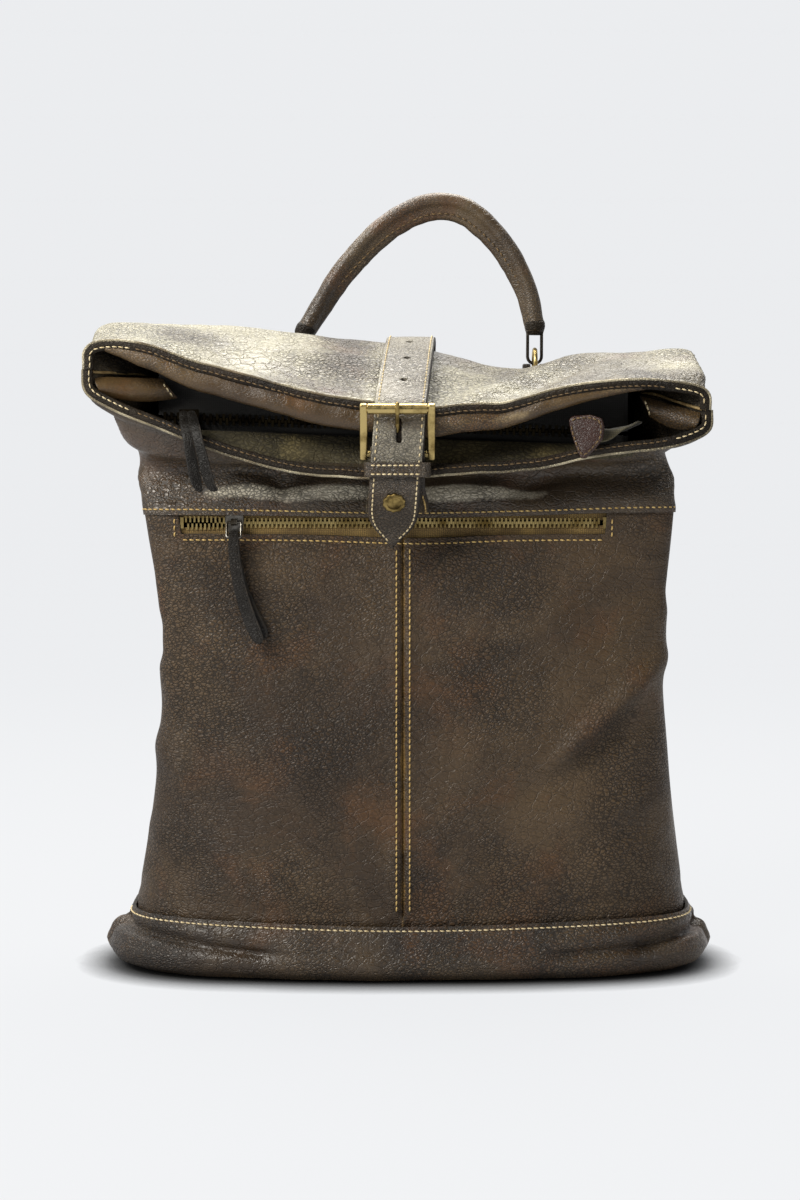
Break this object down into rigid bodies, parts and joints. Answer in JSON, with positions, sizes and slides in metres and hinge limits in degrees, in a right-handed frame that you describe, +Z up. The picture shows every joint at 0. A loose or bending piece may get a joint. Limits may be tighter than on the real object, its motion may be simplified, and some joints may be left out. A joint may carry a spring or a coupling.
{
  "type": "roll-top backpack",
  "caption": "Roll-top leather backpack with a buckled closure strap, a zipped front pocket, a rolled carry handle on rings and two shoulder straps.",
  "frame": {"origin": "on the floor under the middle of the bag's base", "axes": "+Z up, -Y towards the front with the pocket and buckle, +X to the viewer's right seen from the front"},
  "size_m": [0.3914, 0.2117, 0.4967],
  "materials": {
    "body_leather": "waxed, worn, satin",
    "top_leather": "worn, burnished",
    "base_leather": "waxed, satin",
    "lining_leather": "smooth inner leather",
    "edge_leather": "painted edge binding",
    "strap_leather": "thick, burnished",
    "brown_leather": "smooth, matt",
    "lining_cloth": "cotton lining",
    "zip_tape": "woven tape",
    "brass": "aged, brushed",
    "board": "plain board"
  },
  "bodies": {
    "bag": {"front_panel_left": "body_leather", "front_panel_right": "body_leather", "front_yoke": "body_leather", "back_panel": "body_leather", "top_flap": "top_leather", "mouth_facing_upper": "lining_leather", "mouth_facing_lower": "lining_leather", "rim_binding_upper": "edge_leather", "rim_binding_lower": "edge_leather", "base_wrap_front": "base_leather", "base_wrap_back": "base_leather", "base_bottom": "base_leather", "base_board": "board", "main_lining": "lining_cloth", "pocket_lining": "lining_cloth", "pocket_zip_tapes": "zip_tape", "pocket_zip_teeth": "brass", "pocket_zip_stops": "brass", "main_zip_tapes": "zip_tape", "main_zip_teeth": "brass", "main_zip_tail": "zip_tape", "main_zip_end_tab": "brown_leather", "closure_strap": "strap_leather", "closure_strap_lining": "strap_leather", "buckle_tab": "body_leather", "strap_keeper": "strap_leather", "handle_anchor_left": "edge_leather", "handle_anchor_right": "edge_leather", "shoulder_strap_left": "body_leather", "shoulder_strap_right": "body_leather", "lower_strap_left": "body_leather", "lower_strap_right": "body_leather", "strap_slider_left": "brass", "strap_slider_right": "brass", "lower_ring_tab_left": "body_leather", "lower_ring_tab_right": "body_leather", "strap_anchor_patch": "body_leather"},
    "pocket_slider": {"pocket_slider": "brass"},
    "pocket_bail": {"pocket_bail": "brass"},
    "pocket_pull": {"pocket_pull": "edge_leather"},
    "main_slider": {"main_slider": "brass"},
    "main_bail": {"main_bail": "brass"},
    "main_pull": {"main_pull": "edge_leather"},
    "handle": {"handle_grip": "body_leather", "handle_core": "lining_cloth", "handle_loop_left": "edge_leather", "handle_loop_right": "edge_leather", "handle_ring_left": "brass", "handle_ring_right": "brass"},
    "buckle_frame": {"buckle_frame": "brass"},
    "buckle_roller": {"buckle_roller": "brass"},
    "buckle_prong": {"buckle_prong": "brass"},
    "strap_tip": {"closure_strap_tip": "strap_leather", "tip_stud": "brass"},
    "lower_ring_left": {"lower_ring_left": "brass"},
    "lower_ring_right": {"lower_ring_right": "brass"}
  },
  "joints": [
    {"name": "pocket_zip_slide", "type": "slide", "parent": "bag", "child": "pocket_slider", "axis": [1, 0, 0], "range_m": [-0.021, 0.22]},
    {"name": "pocket_bail_swing", "type": "hinge", "parent": "pocket_slider", "child": "pocket_bail", "pos_m": [-0.104, -0.0589, 0.2866], "axis": [-1, 0, 0], "range_deg": [0, 80]},
    {"name": "pocket_pull_swing", "type": "hinge", "parent": "pocket_bail", "child": "pocket_pull", "pos_m": [-0.104, -0.0635, 0.2776], "axis": [-1, 0, 0], "range_deg": [0, 20]},
    {"name": "main_zip_slide", "type": "slide", "parent": "bag", "child": "main_slider", "axis": [0.9994, 0, -0.0347], "range_m": [-0.006, 0.085]},
    {"name": "main_bail_swing", "type": "hinge", "parent": "main_slider", "child": "main_bail", "pos_m": [-0.131, -0.0636, 0.35034], "axis": [-1, 0, 0], "range_deg": [0, 8]},
    {"name": "main_pull_swing", "type": "hinge", "parent": "main_bail", "child": "main_pull", "pos_m": [-0.131, -0.0726, 0.35034], "axis": [-1, 0, 0], "range_deg": [0, 12]},
    {"name": "handle_swing", "type": "hinge", "parent": "bag", "child": "handle", "pos_m": [0, 0.0525, 0.3815], "axis": [1, 0, 0], "range_deg": [-100, 45]},
    {"name": "buckle_frame_tilt", "type": "hinge", "parent": "bag", "child": "buckle_frame", "pos_m": [-0.00341, -0.0985, 0.329], "axis": [-1, 0, 0], "range_deg": [-1.5, 4]},
    {"name": "buckle_prong_lift", "type": "hinge", "parent": "buckle_frame", "child": "buckle_prong", "pos_m": [-0.00341, -0.0985, 0.329], "axis": [1, 0, 0], "range_deg": [0, 3]},
    {"name": "buckle_roller_spin", "type": "hinge", "parent": "buckle_frame", "child": "buckle_roller", "pos_m": [-0.00341, -0.1096, 0.356], "axis": [1, 0, 0], "continuous": true},
    {"name": "strap_tip_lift", "type": "hinge", "parent": "bag", "child": "strap_tip", "pos_m": [-0.00341, -0.1058, 0.3144], "axis": [-1, 0, 0], "range_deg": [0, 70]},
    {"name": "lower_ring_left_swing", "type": "hinge", "parent": "bag", "child": "lower_ring_left", "pos_m": [-0.134, 0.074, 0.076], "axis": [1, 0, 0], "range_deg": [-6, 15]},
    {"name": "lower_ring_right_swing", "type": "hinge", "parent": "bag", "child": "lower_ring_right", "pos_m": [0.134, 0.074, 0.076], "axis": [1, 0, 0], "range_deg": [-6, 15]}
  ]
}
